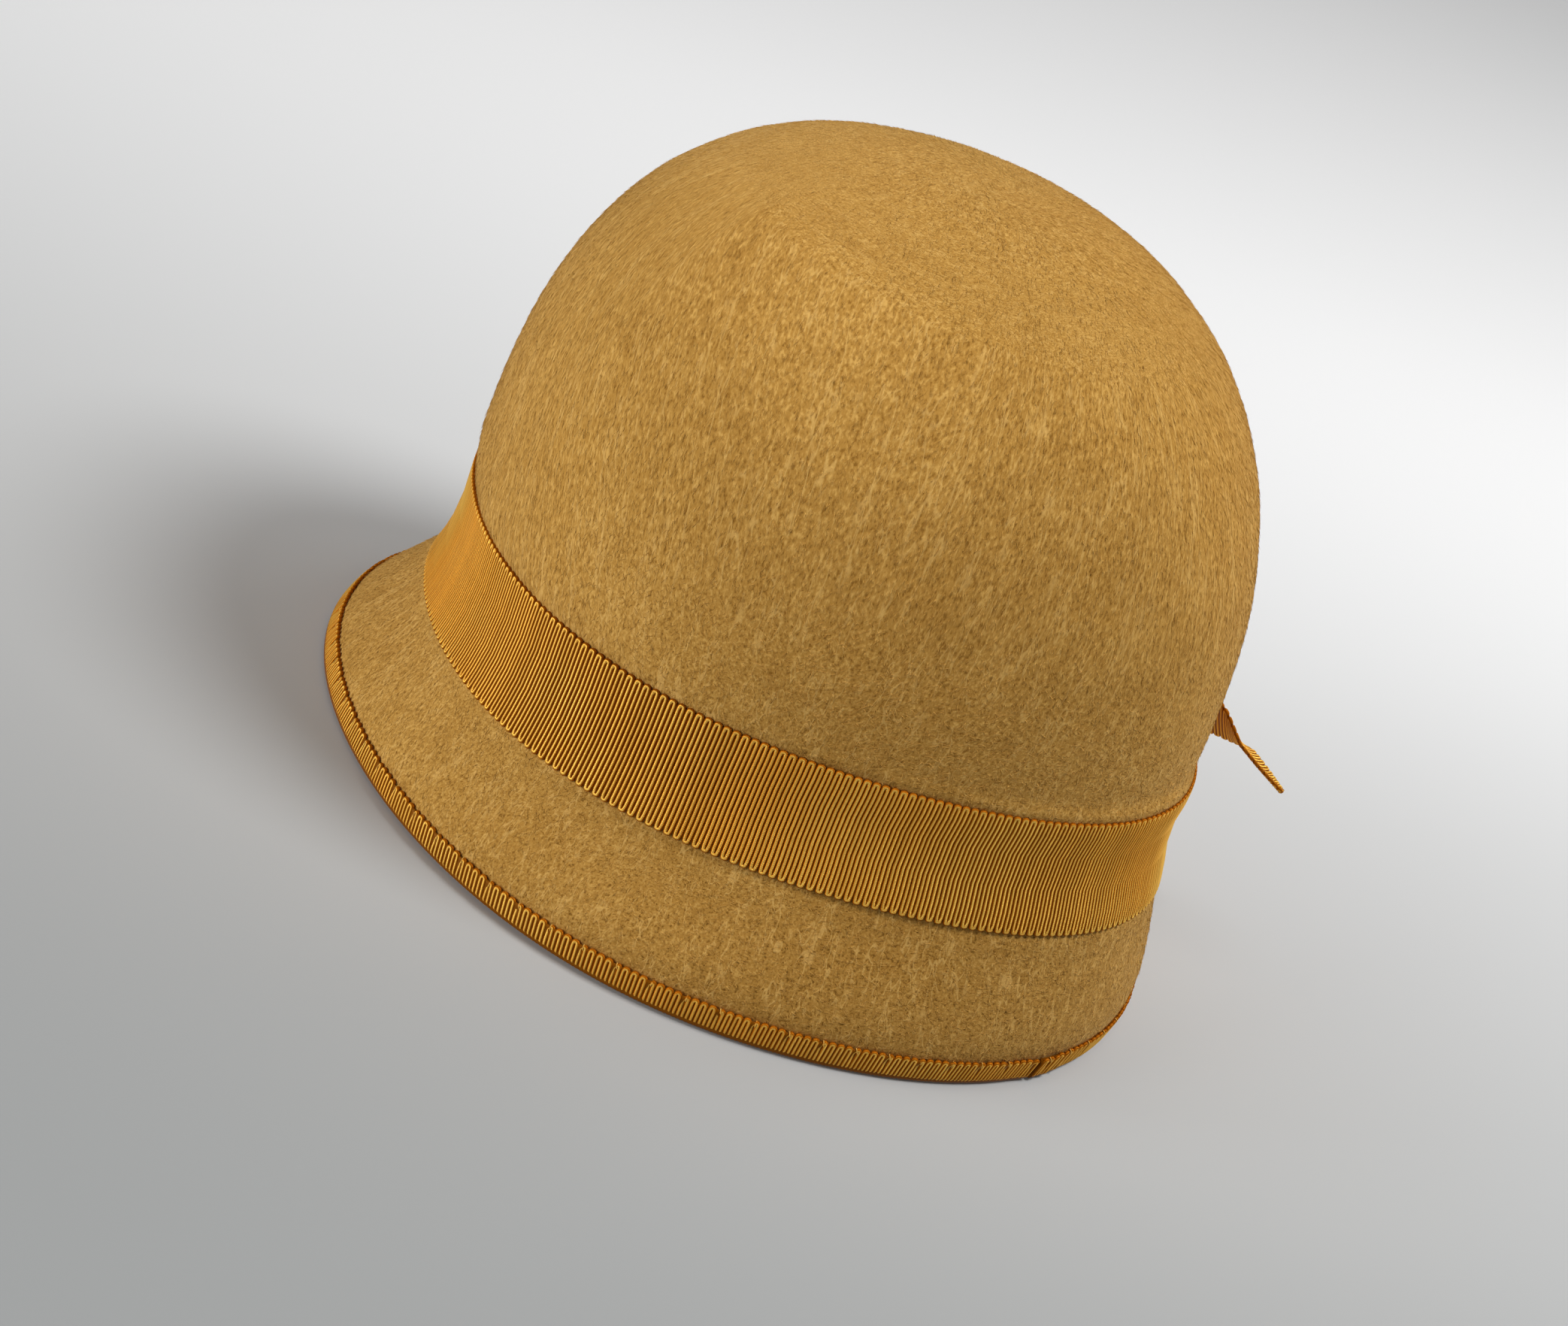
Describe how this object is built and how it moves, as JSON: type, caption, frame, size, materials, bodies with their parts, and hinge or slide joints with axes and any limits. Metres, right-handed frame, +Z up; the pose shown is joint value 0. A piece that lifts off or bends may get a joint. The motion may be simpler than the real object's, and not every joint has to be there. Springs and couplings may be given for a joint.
{
  "type": "cloche hat",
  "caption": "Bell-shaped felt hat with a short drooping brim, a ribbed ribbon band knotted at one side with a free tail, and a ribbon binding folded over the rim.",
  "frame": {"origin": "middle of the bounding box's underside, on the plane the rim rests on", "axes": "+Z up through the crown, -Y towards the front of the hat, +X towards the wearer's left"},
  "size_m": [0.203, 0.2412, 0.1845],
  "materials": {
    "felt": "camel wool felt with a short brushed nap",
    "ribbon": "golden brown ribbed petersham ribbon with a low sheen"
  },
  "bodies": {
    "root": {"felt_hood": "felt", "hat_band": "ribbon", "band_knot": "ribbon", "band_tail": "ribbon", "brim_binding": "ribbon"}
  },
  "joints": []
}
